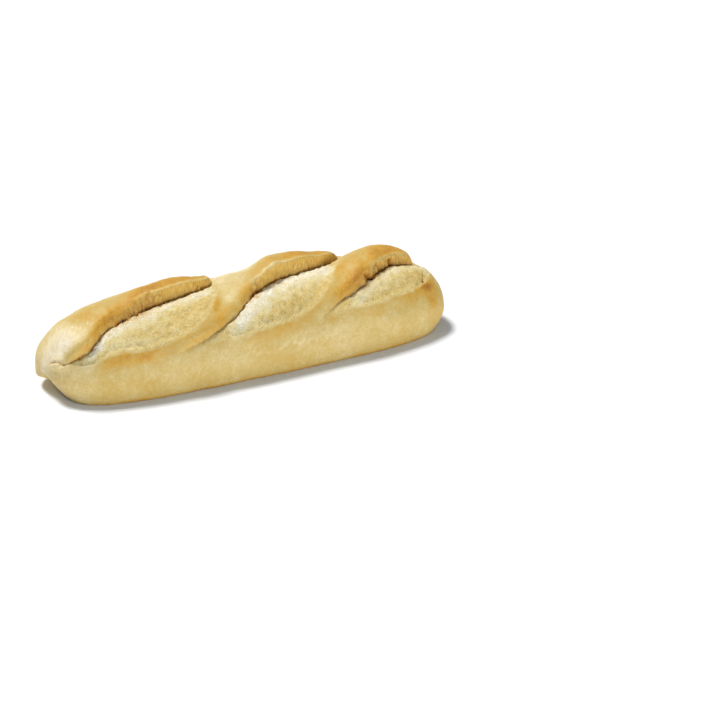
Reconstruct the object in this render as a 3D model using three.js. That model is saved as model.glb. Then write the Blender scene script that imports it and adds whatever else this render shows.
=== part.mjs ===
// Top half of a small scored sandwich loaf, split lengthwise and lying on its cut face.
// Millimetres, +Z up, length along X, cut face on Z = 0, origin under the middle of the loaf.
import * as THREE from 'three';
import { LoftGeometry } from 'three/addons/geometries/LoftGeometry.js';

// Body: a long rounded dome on a flat cut face.
const LENGTH = 250;
const WIDTH = 77;
const CREST = 45; // height of the plain dome, without the ears
const WIDEST = 12; // height of the widest line above the cut face
const PLAN_POWER = 3.3; // how square the plan outline is
const SECTION_POWER = 2.2; // how square the cross-section is
const HEEL_POWER = 3.1; // how square the dome's long profile is at -X
const TOE_POWER = 3.15; // the same at +X
const SIDE_TUCK = 0.05; // share of the half width that the sides draw in towards the cut face
const HEEL_TUCK = 10; // length that the -X end draws in towards the cut face
const HEEL_STEPS = [20, 7.7]; // height below which it does so, in front and at the back
const HEEL_CURVE = 1.5; // how slowly it starts to do so in front; at the back it starts with a fold
const HEEL_TURN = 8; // half width over which the one passes into the other
const TOE_TUCK = 9; // length that the +X end draws in towards the cut face
const TUCK_POWER = 6; // keeps that drawing in close to the ends

// Section angles in degrees: 0 is the front widest line, 90 the crest, 180 the back widest line.
// SKIRT more degrees at each side lead straight down to the cut face.
const SKIRT = 20;
const HALF_TURN = 180;
const DEGREE = 0.62; // length of one degree along the section

// Relief of the cuts
const CREVICE_DEPTH = 2.2;
const CREVICE_REACH = 1.8;
const CREVICE_FADE = 0.5; // share of the ear's wall over which the crevice fades out
const FULL_CREVICE_EAR = 3; // ear height above which the crevice has its full depth
const BLOOM_RISE = 2.2; // swelling of the torn surface in front of each crevice
const BLOOM_PEAK = 0.6; // power that moves the swelling towards the crevice
const LEAST_BLOOM = 1.5; // width of the torn surface at the ends of a cut
const LIP_RISE = 1.3; // ridge where the torn surface meets the crust
const LIP_INSIDE = 1.6;
const LIP_OUTSIDE = 6;
const LIP_GROWTH = 1.8; // how soon the ridge reaches its height along the cut
const ROLL_WIDTH = 8; // width of an ear's edge where it is a whole roll of crust
const WALL_WIDTH = 2.4; // width of an ear's edge where it is a steep torn wall
const RIM_ROUND = 7; // how far behind the wall the crust rounds over
const ROLL_LEAN = 1; // how far an ear leans to the front, on a roll and on a wall
const WALL_LEAN = 2.2;
const FULL_LEAN_EAR = 6; // ear height that leans in full
const LEAN_FOOT = 0.2; // share of the wall below the lean
const LEAN_TOP = 1; // the lean fades out from here to LEAN_END behind the rim
const LEAN_END = 9;
const RIM_WIDTH = 4; // the ear keeps its height over this length behind the wall
const RIM_BLEND = 16; // behind the rim the ear passes into the dome's own swelling over this length
const BAND_RUN = 50; // length over which the crust behind a cut widens to its full reach
const END_RUN = 3; // a cut fades out over END_RUN past its ends
const END_FADE = 6; // and END_FADE inside them

// Cuts from -X to +X. path: [x, section angle] along the crevice, run on over the whole loaf;
// ear: [x, height] of the raised rim behind it; swell: [x, height] of the dome further back;
// span: where the torn surface starts and ends; bloom: its largest width in degrees; skew and
// blunt shape its outline; back: how far the swelling reaches behind the rim at the cut's start
// and further on; opens: where the rolled edge becomes a torn wall; torn: share of the ear's height
// that this wall takes, with rounded crust above it.
const CUTS = [
  {
    path: [
      [-126, 38], [-118, 37.5], [-108, 41], [-91, 63], [-76, 71], [-60, 78.5], [-45, 82.5], [-25, 90],
      [10, 118], [60, 145], [126, 160],
    ],
    ear: [
      [-126, 0], [-118, 1.5], [-110, 6.8], [-99, 6.5], [-80, 5.8], [-60, 9.5], [-48, 9.5], [-30, 6.2],
      [-22.5, 4.8], [-19, 0],
    ],
    swell: [[-126, 0], [-112, 7.2], [-99, 6], [-76, 4.8], [-45, 6.8], [-15, 0.6], [5, 0]],
    span: [-120, -19], bloom: 45, skew: 1.4, blunt: 0.62, back: [52, 32], opens: [-94, -62], torn: 0.92,
  },
  {
    path: [
      [-126, 13], [-80, 14], [-56, 22], [-34, 33.5], [-16, 50], [-5, 64.5], [12, 78], [40, 88.5],
      [66, 103], [95, 120], [126, 124],
    ],
    ear: [
      [-62, 0], [-45, 2], [-25, 3], [-8, 4], [2, 9.5], [10, 11.8], [28, 10.8], [48, 6.8], [60, 4.8],
      [65, 0],
    ],
    swell: [[-62, 0], [-45, 2], [-25, 3], [-5, 3.5], [22, 10.2], [50, 7], [72, 3], [95, 0]],
    span: [-54, 70], bloom: 47.5, skew: 1.25, blunt: 1.5, back: [7, 30], opens: [-8, 4], torn: 0.92,
  },
  {
    path: [
      [-126, 2.5], [-10, 3], [15, 11], [34, 30], [45, 40], [56, 47.5], [72, 62.5], [88, 76.5],
      [107, 81.5], [126, 86],
    ],
    ear: [[28, 0], [45, 2.5], [60, 6], [75, 9.5], [88, 10.2], [98, 10], [104, 7.8], [108.5, 0]],
    swell: [[28, 0], [45, 4], [60, 7], [85, 10.2], [104, 6], [114, 0]],
    span: [32, 121], bloom: 40, skew: 1.85, blunt: 0.66, back: [7, 30], opens: [60, 84], torn: 0.74,
  },
];

// Mesh: stations along the loaf, and rows across it that follow the cuts.
const STATIONS = 106;
const OUTLINE_STEPS = 4000;
const SKIRT_ROWS = 4; // rows from the cut face up to the widest line, on each side
const ROWS_BETWEEN = [5, 4, 4, 7]; // even rows from the front widest line through the cuts to the back one
const ROWS_BEFORE = [-2.5, -0.8]; // rows on the torn side of a crevice, from its line
const ROWS_ON_WALL = [0, 0.35, 0.75, 1.1]; // rows on the ear's edge, as shares of its width
const ROWS_AFTER = [2.2, 5.5]; // rows behind the wall
const IDLE_SPREAD = 0.18; // how close those rows draw together away from the cut
const SPREAD_RUN = [5, 25]; // nearest and farthest distance past a cut's end over which they do so

const clamp = THREE.MathUtils.clamp;
const lerp = THREE.MathUtils.lerp;

// Smooth step from 0 at `from` to 1 at `to`.
function ease(from, to, value) {
  return THREE.MathUtils.smoothstep(value, from, to);
}

// Slope at a knot between two straight runs: their weighted harmonic mean, or level at a turn.
function knotSlope(before, after) {
  if (before.slope * after.slope <= 0) return 0;
  const near = 2 * after.run + before.run;
  const far = after.run + 2 * before.run;
  return (near + far) / (near / before.slope + far / after.slope);
}

// Curve through [x, value] knots that never overshoots them.
function curveThrough(knots) {
  const runs = [];
  for (let i = 0; i + 1 < knots.length; i++) {
    const run = knots[i + 1][0] - knots[i][0];
    runs.push({ run, slope: (knots[i + 1][1] - knots[i][1]) / run });
  }
  const last = runs.length - 1;
  const slopes = knots.map((knot, i) => {
    if (i === 0) return runs[0].slope;
    if (i > last) return runs[last].slope;
    return knotSlope(runs[i - 1], runs[i]);
  });
  return (x) => {
    const inside = clamp(x, knots[0][0], knots[last + 1][0]);
    let i = 0;
    while (i < last && inside > knots[i + 1][0]) i += 1;
    const { run } = runs[i];
    const t = (inside - knots[i][0]) / run;
    const rest = 1 - t;
    return (1 + 2 * t) * rest * rest * knots[i][1] + t * rest * rest * run * slopes[i]
      + t * t * (3 - 2 * t) * knots[i + 1][1] - t * t * rest * run * slopes[i + 1];
  };
}

for (const cut of CUTS) {
  cut.angleAt = curveThrough(cut.path);
  cut.earAt = curveThrough(cut.ear);
  cut.swellAt = curveThrough(cut.swell);
}

// Half size left of a rounded-square profile at share u of its length.
function rounded(u, power) {
  return Math.pow(Math.max(1 - Math.pow(u, power), 0), 1 / power);
}

// Height of a quarter circle that starts upright at share 0 and is level at share 1.
function quarterArc(share) {
  return Math.sqrt(1 - (1 - share) * (1 - share));
}

// Places along X at even steps of the plan outline, from +X to -X.
function stationPlaces() {
  const outline = [];
  let run = 0;
  for (let i = 0; i <= OUTLINE_STEPS; i++) {
    const turn = (i / OUTLINE_STEPS - 0.5) * Math.PI;
    const x = (LENGTH / 2) * Math.sign(Math.sin(turn)) * Math.pow(Math.abs(Math.sin(turn)), 2 / PLAN_POWER);
    const y = (WIDTH / 2) * Math.pow(Math.cos(turn), 2 / PLAN_POWER);
    if (i > 0) run += Math.hypot(x - outline[i - 1].x, y - outline[i - 1].y);
    outline.push({ x, y, run });
  }
  const places = [];
  let i = 0;
  for (let k = 0; k < STATIONS; k++) {
    const target = ((k + 0.5) / STATIONS) * run;
    while (outline[i + 1].run < target) i += 1;
    const share = (target - outline[i].run) / (outline[i + 1].run - outline[i].run);
    places.push(lerp(outline[i].x, outline[i + 1].x, share));
  }
  return places.reverse();
}

// Place along X once both ends draw in towards the cut face.
function tucked(x, y, z) {
  const back = ease(-HEEL_TURN, HEEL_TURN, y);
  const heel = clamp(1 - z / lerp(...HEEL_STEPS, back), 0, 1);
  const toe = clamp(1 - z / WIDEST, 0, 1);
  const heelTuck = HEEL_TUCK * lerp(Math.pow(heel, HEEL_CURVE), heel * (2 - heel), back);
  const tuck = x < 0 ? heelTuck : TOE_TUCK * toe * toe;
  const u = Math.abs(x) / (LENGTH / 2);
  return x - Math.sign(x) * tuck * Math.pow(u, TUCK_POWER);
}

// Point of the plain body with its outward normal and its tangent to the front, in the section plane.
function bodyPoint(x, angle) {
  const u = Math.abs(x) / (LENGTH / 2);
  const half = (WIDTH / 2) * rounded(u, PLAN_POWER);
  const dome = (CREST - WIDEST) * rounded(u, x < 0 ? HEEL_POWER : TOE_POWER);
  const turn = THREE.MathUtils.degToRad(clamp(angle, 0, HALF_TURN));
  const across = Math.cos(turn);
  const up = Math.sin(turn);
  const below = Math.max(-angle, angle - HALF_TURN, 0) / SKIRT;
  const side = -Math.sign(across);
  const drawnIn = half * (1 - SIDE_TUCK * below * below);
  const y = side * drawnIn * Math.pow(Math.abs(across), 2 / SECTION_POWER);
  const z = below > 0 ? WIDEST * (1 - below) : WIDEST + dome * Math.pow(up, 2 / SECTION_POWER);
  const point = new THREE.Vector3(tucked(x, y, z), y, z);
  const bend = 2 - 2 / SECTION_POWER;
  const normal = new THREE.Vector3(
    0,
    (side * Math.pow(Math.abs(across), bend)) / half,
    Math.pow(up, bend) / dome,
  ).normalize();
  const front = new THREE.Vector3(0, -normal.z, normal.y);
  return { point, normal, front };
}

function wallWidth(cut, x) {
  return lerp(ROLL_WIDTH, WALL_WIDTH, ease(...cut.opens, x));
}

// Rise along the normal on the torn side of a crevice, at the distance `away` in front of it.
function bloomRise(cut, away, spread, active, depth) {
  const width = Math.max(cut.bloom * spread * DEGREE, LEAST_BLOOM);
  const share = clamp(away / width, 0, 1);
  const bulge = BLOOM_RISE * spread * Math.sin(Math.PI * Math.pow(share, BLOOM_PEAK));
  const crevice = depth * Math.exp(-Math.pow(away / CREVICE_REACH, 2));
  const reach = away < width ? LIP_INSIDE : LIP_OUTSIDE;
  const ridge = LIP_RISE * active * Math.min(LIP_GROWTH * spread, 1);
  const lip = ridge * Math.exp(-Math.pow((away - width) / reach, 2));
  return bulge - crevice + lip;
}

// Rise and forward lean that one cut adds to the body at a place on it.
function cutRelief(cut, x, angle) {
  const [start, end] = cut.span;
  const active = ease(start - END_RUN, start + END_FADE, x) * (1 - ease(end - END_FADE, end + END_RUN, x));
  const along = Math.pow(clamp((x - start) / (end - start), 0, 1), cut.skew);
  const spread = Math.pow(Math.sin(Math.PI * along), cut.blunt);
  const ear = Math.max(cut.earAt(x), 0);
  const depth = CREVICE_DEPTH * active * Math.min(ear / FULL_CREVICE_EAR, 1);
  const away = (angle - cut.angleAt(x)) * DEGREE;
  if (away <= 0) return { rise: bloomRise(cut, -away, spread, active, depth), lean: 0 };
  const opened = ease(...cut.opens, x);
  const wall = wallWidth(cut, x);
  const reach = lerp(cut.back[0], cut.back[1], ease(start, start + BAND_RUN, x));
  const share = clamp(away / wall, 0, 1);
  const behindWall = clamp((away - wall) / RIM_ROUND, 0, 1);
  const tornEdge = lerp(cut.torn * ease(0, 1, share), 1, quarterArc(behindWall));
  const edge = lerp(quarterArc(share), tornEdge, opened);
  const height = lerp(ear, Math.max(cut.swellAt(x), 0), ease(wall, wall + RIM_BLEND, away));
  const fall = 1 - ease(wall + RIM_WIDTH, wall + RIM_WIDTH + reach, away);
  const lean = lerp(ROLL_LEAN, WALL_LEAN, opened) * active * Math.min(ear / FULL_LEAN_EAR, 1)
    * ease(LEAN_FOOT, 1, share) * (1 - ease(wall + LEAN_TOP, wall + LEAN_END, away));
  return { rise: height * edge * fall - depth * (1 - ease(0, CREVICE_FADE, share)), lean };
}

// Point of the finished crust.
function crustPoint(x, angle) {
  const { point, normal, front } = bodyPoint(x, angle);
  for (const cut of CUTS) {
    const { rise, lean } = cutRelief(cut, x, angle);
    point.addScaledVector(normal, rise).addScaledVector(front, lean);
  }
  return point;
}

// Section angles of the rows at one station: tight along every cut, even between them.
function rowAngles(x) {
  const skirt = Array.from({ length: SKIRT_ROWS }, (_, k) => SKIRT * (1 - k / SKIRT_ROWS));
  const angles = [...skirt.map((drop) => -drop), 0];
  const addEven = (to, count) => {
    const from = angles[angles.length - 1];
    for (let k = 1; k <= count; k++) angles.push(lerp(from, to, k / (count + 1)));
  };
  const inAngleOrder = [...CUTS].reverse();
  inAngleOrder.forEach((cut, k) => {
    const [start, end] = cut.span;
    const [near, far] = SPREAD_RUN;
    const active = ease(start - far, start - near, x) * (1 - ease(end + near, end + far, x));
    const spread = lerp(IDLE_SPREAD, 1, active) / DEGREE;
    const wall = wallWidth(cut, x);
    const onWall = ROWS_ON_WALL.map((share) => share * wall);
    const behind = ROWS_AFTER.map((row) => wall + row);
    const line = [...ROWS_BEFORE, ...onWall, ...behind].map((offset) => cut.angleAt(x) + offset * spread);
    addEven(line[0], ROWS_BETWEEN[k]);
    angles.push(...line);
  });
  addEven(HALF_TURN, ROWS_BETWEEN[CUTS.length]);
  angles.push(HALF_TURN, ...skirt.reverse().map((drop) => HALF_TURN + drop));
  return angles;
}

// The last ring at an end of the loaf: its front and back rows meet on one upright seam.
function endSeam(x, rows) {
  return Array.from({ length: rows }, (_, k) => {
    const z = WIDEST * Math.min(Math.min(k, rows - 1 - k) / SKIRT_ROWS, 1);
    return new THREE.Vector3(tucked(x, 0, z), 0, z);
  });
}

// The whole half as one closed solid: crust over the top, flat cut face below.
function loafGeometry() {
  const rings = stationPlaces().map((x) => rowAngles(x).map((angle) => crustPoint(x, angle)));
  const rows = rings[0].length;
  const sections = [endSeam(LENGTH / 2, rows), ...rings, endSeam(-LENGTH / 2, rows)];
  return new LoftGeometry(sections, { closed: true });
}

const loaf = new THREE.Group();
const crust = new THREE.MeshStandardMaterial({ color: 0xd9bb78, roughness: 0.75, metalness: 0 });
const topHalf = new THREE.Mesh(loafGeometry(), crust);
topHalf.name = 'loaf_top_half';
loaf.add(topHalf);

export default loaf;
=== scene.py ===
# Top half of a small scored sandwich loaf: baked crust, torn cuts and open crumb on the cut face.
import itertools
import math
from types import SimpleNamespace

import bpy
import numpy as np
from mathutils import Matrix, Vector


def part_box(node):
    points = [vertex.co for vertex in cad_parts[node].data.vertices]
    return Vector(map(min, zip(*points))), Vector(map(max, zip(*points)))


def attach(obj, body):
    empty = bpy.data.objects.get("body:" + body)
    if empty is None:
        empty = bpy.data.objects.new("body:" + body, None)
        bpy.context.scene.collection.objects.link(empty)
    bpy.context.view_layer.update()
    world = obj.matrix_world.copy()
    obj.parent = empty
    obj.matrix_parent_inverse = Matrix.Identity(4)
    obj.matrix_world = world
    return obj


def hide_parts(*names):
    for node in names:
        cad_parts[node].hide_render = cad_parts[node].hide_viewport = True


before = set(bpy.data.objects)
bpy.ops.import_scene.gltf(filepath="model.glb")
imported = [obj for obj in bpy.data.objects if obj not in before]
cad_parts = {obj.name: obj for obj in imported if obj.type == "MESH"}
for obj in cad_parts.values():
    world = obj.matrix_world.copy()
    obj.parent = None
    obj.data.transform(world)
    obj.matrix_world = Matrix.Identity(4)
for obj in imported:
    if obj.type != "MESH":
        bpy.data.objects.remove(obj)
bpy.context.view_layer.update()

# Everything below is in millimetres and degrees until the mesh and the scene are made, in metres.
MM = 0.001
NODE = "loaf_top_half"
NODE_LOW, NODE_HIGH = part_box(NODE)

# Body: a long rounded dome on a flat cut face, in the sizes of the solid. The heel is its -X end and the
# toe its +X end.
LENGTH = round((NODE_HIGH[0] - NODE_LOW[0]) / MM, 1)
WIDTH = round((NODE_HIGH[1] - NODE_LOW[1]) / MM, 1)
CREST = 45.0  # height of the plain dome, without the ears
WIDEST = 12.0  # height of the widest line above the cut face
PLAN_POWER = 3.3  # how square the loaf is from above, in section, and from the side at each end
SECTION_POWER = 2.2
HEEL_POWER = 3.1
TOE_POWER = 3.15
SIDE_TUCK = 0.05  # share of the half width by which the sides draw in towards the cut face
HEEL_TUCK = 10.0  # how far the heel draws in towards the cut face
HEEL_STEPS = (20.0, 7.7)  # height below which the heel draws in, in front and at the back
HEEL_CURVE = 1.5  # how slowly it starts to do so in front; at the back it starts with a fold
HEEL_TURN = 8.0  # half width over which the one passes into the other
TOE_TUCK = 9.0  # how far the toe draws in towards the cut face
TUCK_POWER = 6  # how closely both keep to the ends

# Section angles: 0 is the front widest line, 90 the crest, 180 the back widest line, and SKIRT more
# degrees at each side lead on down to the cut face.
SKIRT = 20.0
HALF_TURN = 180.0
DEGREE = 0.62  # length of one degree along the section

# Relief of the cuts. In front of its crevice a cut has a torn surface, the bloom, that ends at a lip.
# Behind it stands an ear of crust, which rolls down into the crevice or ends in a torn wall.
CREVICE_DEPTH = 2.2
CREVICE_REACH = 1.8  # how far it sinks the torn surface in front
CREVICE_FADE = 0.5  # share of the wall over which it ends
FULL_CREVICE_EAR = 3.0  # height of the ear from which on the crevice is fully deep
BLOOM_RISE = 2.2
BLOOM_PEAK = 0.6  # below 1 the bloom is highest near the crevice
LEAST_BLOOM = 1.5
LIP_RISE = 1.3
LIP_INSIDE = 1.6  # reach of the lip on the torn surface and on the crust
LIP_OUTSIDE = 6.0
LIP_GROWTH = 1.8  # how soon it is fully high as the bloom spreads
ROLL_WIDTH = 8.0  # width of the rolled crust and of the torn wall
WALL_WIDTH = 2.4
RIM_ROUND = 7.0  # how far behind the wall the crust rounds over
ROLL_LEAN = 1.0  # how far the rolled crust and the torn wall lean to the front
WALL_LEAN = 2.2
FULL_LEAN_EAR = 6.0  # height of the ear from which on they do so fully
LEAN_FOOT = 0.2  # share of the wall from which on it leans
LEAN_TOP = 1.0  # distances behind the wall where the lean starts to fade and where it ends
LEAN_END = 9.0
RIM_WIDTH = 4.0  # crust behind the wall before the ear falls away
RIM_BLEND = 16.0  # run over which the height of the ear passes into the swell behind it
BAND_RUN = 50.0  # run along the cut over which the reach of the swell changes
END_RUN = 3.0  # how far a cut fades out past its ends, and inside them
END_FADE = 6.0

# Cuts from -X to +X. The section angle of the path and the heights of the ear and of the swell behind it
# are knots along X, as in the solid. Span is where a cut starts and ends. Bloom is the widest torn
# surface in degrees, and skew and blunt shape its outline. Back is how far the swell reaches at first and
# further along. Opens is where the rolled crust turns into a torn wall, for the first cut a little
# further along than in the solid. Torn is the share of the ear that the wall reaches, and fringe is where
# the cut is frayed.
CUTS = [
    dict(
        path=[(-126, 38), (-118, 37.5), (-108, 41), (-91, 63), (-76, 71), (-60, 78.5), (-45, 82.5),
              (-25, 90), (10, 118), (60, 145), (126, 160)],
        ear=[(-126, 0), (-118, 1.5), (-110, 6.8), (-99, 6.5), (-80, 5.8), (-60, 9.5), (-48, 9.5),
             (-30, 6.2), (-22.5, 4.8), (-19, 0)],
        swell=[(-126, 0), (-112, 7.2), (-99, 6), (-76, 4.8), (-45, 6.8), (-15, 0.6), (5, 0)],
        span=(-120, -19), bloom=45, skew=1.4, blunt=0.62, back=(52, 32), opens=(-80, -57), torn=0.92,
        fringe=(-94, -50),
    ),
    dict(
        path=[(-126, 13), (-80, 14), (-56, 22), (-34, 33.5), (-16, 50), (-5, 64.5), (12, 78), (40, 88.5),
              (66, 103), (95, 120), (126, 124)],
        ear=[(-62, 0), (-45, 2), (-25, 3), (-8, 4), (2, 9.5), (10, 11.8), (28, 10.8), (48, 6.8),
             (60, 4.8), (65, 0)],
        swell=[(-62, 0), (-45, 2), (-25, 3), (-5, 3.5), (22, 10.2), (50, 7), (72, 3), (95, 0)],
        span=(-54, 70), bloom=47.5, skew=1.25, blunt=1.5, back=(7, 30), opens=(-8, 4), torn=0.92,
        fringe=(-8, 4),
    ),
    dict(
        path=[(-126, 2.5), (-10, 3), (15, 11), (34, 30), (45, 40), (56, 47.5), (72, 62.5), (88, 76.5),
              (107, 81.5), (126, 86)],
        ear=[(28, 0), (45, 2.5), (60, 6), (75, 9.5), (88, 10.2), (98, 10), (104, 7.8), (108.5, 0)],
        swell=[(28, 0), (45, 4), (60, 7), (85, 10.2), (104, 6), (114, 0)],
        span=(32, 121), bloom=40, skew=1.85, blunt=0.66, back=(7, 30), opens=(60, 84), torn=0.74,
        fringe=(60, 84),
    ),
]

# Fine mesh: stations along the loaf and rows round it. The rows of a cut are in millimetres before its
# crevice, in shares of its wall, and in millimetres behind the wall.
STATIONS = 372
OUTLINE_STEPS = 6000
SKIRT_ROWS = 9
ROWS_BETWEEN = [32, 22, 22, 28]
ROWS_BEFORE = np.linspace(-6, -0.4, 12)
ROWS_ON_WALL = np.linspace(0, 1.1, 11)
ROWS_AFTER = np.array([1.4, 2.4, 3.6, 5, 7])
IDLE_SPREAD = 0.18  # share of their distances that is left away from the cut
SPREAD_RUN = (5, 25)  # distances past its ends where they start to close up and where they have done so
BASE_ROWS = 52
BASE_INSET = 0.6  # first row inside the edge of the cut face

# Fine relief: heights of its bumps, and waves, which are about the distances between them
JAG_RISE = 1.0  # how far the torn edge of a crevice wanders
JAG_WAVE = 1.9
JAG_BEFORE = 3.0  # reach of that in front of the crevice and up the wall behind it
JAG_BEHIND = 1.4
OPENING_JAG = 1.6  # how much stronger it is where a cut opens
CLOSED_CREVICE = 0.55  # share of its depth that a crevice has left where the crust rolls down into it
END_CALM = 5.0  # half width of the ends over which the fine relief fades out
SOFT_RISE = 0.35
SOFT_WAVE = 15.0
PEBBLE_RISE = 0.07
PEBBLE_WAVE = 2.6
TORN_RISE = 0.6
TORN_WAVE = 2.4
TORN_CALM = 0.75  # share of the torn relief that is left where there is no flour
FIBRE_RISE = 0.12
FIBRE_WAVE = (1.6, 2.6, 2.6)
RIM_WAVER = 0.6  # how much the height of an ear wavers along it
WAVER_WAVE = 7.0
CRUMB_RISE = 1.1
CRUMB_WAVE = 3.6
BLISTER_RISE = 0.25
BLISTER_SPACING = 2.7
BLISTER_SHARE = 0.7  # share of the cells of that spacing that have a blister
HOLE_DEPTH = 2.0
HOLE_WAVE = 1.6
HOLE_UNEVEN = (0.5, 1.3)  # least and greatest share of that depth
HOLE_CHANGE = (-0.5, 0.5)  # noise over which the one passes into the other
PIT_DEPTH = 0.6
PIT_SPACING = 4.2
PIT_SHARE = 0.3
PIT_SIZES = (0.25, 0.6)  # smallest and largest radius of a pit, a blister or a pore, in cells
DIMPLE_RIM = 0.35  # height of the rim round a dimple, as a share of its depth
DIMPLE_RIM_PLACE = 1.6  # distance and reach of that rim, in reaches of the dimple
DIMPLE_RIM_REACH = 0.5
PORE_DEPTH = 1.5
PORE_SPACING = (6.5, 3.4)
PORE_SHARE = 0.75
PORE_RUN = 4  # how many insets in from the edge the cut face has its full relief
LEAST_PORES = 0.55  # share of their depth that pores have where the crumb is densest
DENSE_CHANGE = (-0.4, 0.5)  # noise over which the crumb passes from dense to open
DENSE_WAVE = 18.0
GRAIN_RISE = 0.12
GRAIN_WAVE = 2.2
FEW_OCTAVES = 2
LATTICE = 48  # cells of a noise table along each axis
TINY = 1e-9  # keeps divisors above zero

# Seeds of the random tables, one for each use
SEEDS = dict(
    jag=5, waver=7, soft=11, pebble=13, torn=17, fibre=19, pit=23, crumbs=29, wide=31, fine=37,
    wander=41, breaks=43, blister=47, pore=53, grain=61, dense=67, hole=71,
)

# Single marks: place along X, section angle, reach along and across, and depth, which for the holes is a
# share of HOLE_DEPTH. A crack runs from one place and section angle to another.
DIMPLES = [
    (-81.7, 39.1, 0.9, 0.8, 0.5),
    (-74.7, 33.8, 1.2, 0.8, 0.5),
    (-66.4, 45.0, 1.2, 0.9, 0.6),
    (-30.0, 54.0, 4.0, 4.0, 0.6),
    (-1.4, 35.6, 3.0, 1.9, 0.9),
    (8.7, 39.8, 1.3, 1.0, 0.7),
    (15.2, 42.4, 1.0, 0.9, 0.5),
    (30.7, 48.3, 1.6, 1.2, 0.6),
    (95.7, 54.3, 2.2, 1.3, 0.7),
]
# The holes are also painted brown and darker, partly as painted shade in them.
HOLES = [
    (60.0, 53.0, 1.6, 0.9, 0.8),
    (68.9, 60.8, 2.2, 1.1, 1.4),
    (79.2, 70.8, 2.6, 1.0, 1.5),
    (90.0, 78.2, 2.6, 0.8, 1.4),
    (97.0, 80.2, 1.2, 0.5, 1.0),
]
# The cracks are painted brown and darker along their line, partly as painted shade.
CRACKS = [
    dict(start=(109.2, 67), end=(105.7, 50.5), width=0.5, depth=0.8, brown_and_shade=0.8),
    dict(start=(-122, 49), end=(-117.5, 36), width=0.9, depth=0.9, brown_and_shade=0.5),
    dict(start=(-62, 84), end=(-65, 78), width=1.3, depth=0.6, brown_and_shade=0.6),
]

# Where the surface changes its look, in millimetres from the lines of a cut
TORN_START = (0.12, 0.32)  # share of its full spread over which the torn surface takes on its look
TORN_NEAR = (-0.4, 0.4)  # distances before the crevice over which it starts
TORN_FAR = (-0.9, 0.4)  # distances past the lip over which it ends
FLOUR_START = (0.2, 0.55)  # share of the full spread over which the flour on it starts
FLOUR_FULL = 4.5
FLOUR_WANDER = 2.5
LIP_WANDER = 0.9
WANDER_WAVE = 5.0
WALL_FOOT = (-0.3, 0.3)  # distances behind the crevice over which the wall starts
WALL_TOP = (-0.6, 0.6)  # distances past its top over which it ends
WALL_WANDER = 0.35
FULL_WALL_EAR = 2.0  # height of the ear from which on the wall shows fully
CRUMB_PLACE = 0.5  # distance behind the crevice of its loose crumbs, and their reach
CRUMB_REACH = 2.6
BREAK_WAVE = 3.0
BREAK_CHANGE = (-0.5, 0.6)  # noise over which the brown and painted shade of crevices and the pale lines pass from broken to whole
BROKEN_BROWN_AND_SHADE = 0.45  # share of such a line that is left where it is broken
BROKEN_PALE = 0.2
# A crevice is painted brown and darker: partly the browning of its crust, partly painted shade in it and
# on the torn surface in front of it.
CREVICE_BEFORE = 2.6  # reach of the brown and painted shade of a crevice to its front and up the wall
CREVICE_BEHIND = 0.9
OPENING_BROWN_AND_SHADE = 2.2  # how much wider that is where a cut opens
CLOSED_BROWN_AND_SHADE = 0.8  # share of that brown and painted shade where the crust rolls down into the crevice
LIP_CREAM = 0.45
LIP_LINE_REACH = 0.7
RIM_LINE_PLACE = 0.3  # distance behind the wall of the pale line on the rim, and its reach
RIM_LINE_REACH = 0.5
RIM_LINE_GROWTH = 3  # how late that line starts as the cut opens
# For each cut: how white its flour is and where it ends, how pale the rim of the ear and between which
# places along X that fades out, how ragged the wall
SURFACES = [
    dict(flour=0.44, flour_end=13.0, rim=0.4, rim_fade=(-50, -30), ragged=0.0),
    dict(flour=0.6, flour_end=19.0, rim=0.5, rim_fade=(18, 36), ragged=0.0),
    dict(flour=0.36, flour_end=16.0, rim=0.1, rim_fade=(90, 105), ragged=0.4),
]
# Spots with more or less flour, and with small pale blisters, given like the patches below
FLOURED = [
    (-100, 42, 5, 5, 0.25),
    (-87, 45, 10, 5, 0.16),
    (-70, 57, 11, 4, 0.18),
    (-76, 36, 14, 5, 0.08),
    (-3, 31, 10, 5, 0.1),
    (100, 64, 9, 8, -0.2),
]
BLISTERED = [(-102, 70, 16, 16, 1), (5, 9, 42, 5, 0.6)]

# Browning, 0 pale to 1 brown, with some painted light in it: patches are place along X, section angle,
# reach along and across in millimetres, and how much browner or paler the crust is there. A few of them
# are painted highlights or painted shade, marked below.
TOAST_LEVEL = 0.45
TOAST_WIDE = 0.08
WIDE_WAVE = 22.0
TOAST_FINE = 0.05
FINE_WAVE = 5.0
RIM_TOAST = 0.3
RIM_BROWNS = (0, 1.5)  # distances behind the wall over which the rim turns brown, and turns plain again
RIM_ENDS = (4, 12)
ROLL_TOAST = 0.3
ROLL_BROWNS = (-0.5, 1)  # distances behind the crevice over which the rolled crust turns brown
ROLL_ENDS = (-3, 4)  # distances past its top over which it turns plain again
LIP_TOAST = 0.2
LIP_BROWNS = (0, 1.2)  # distances past the lip over which the crust turns brown, and turns plain again
LIP_ENDS = (3, 12)
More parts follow.
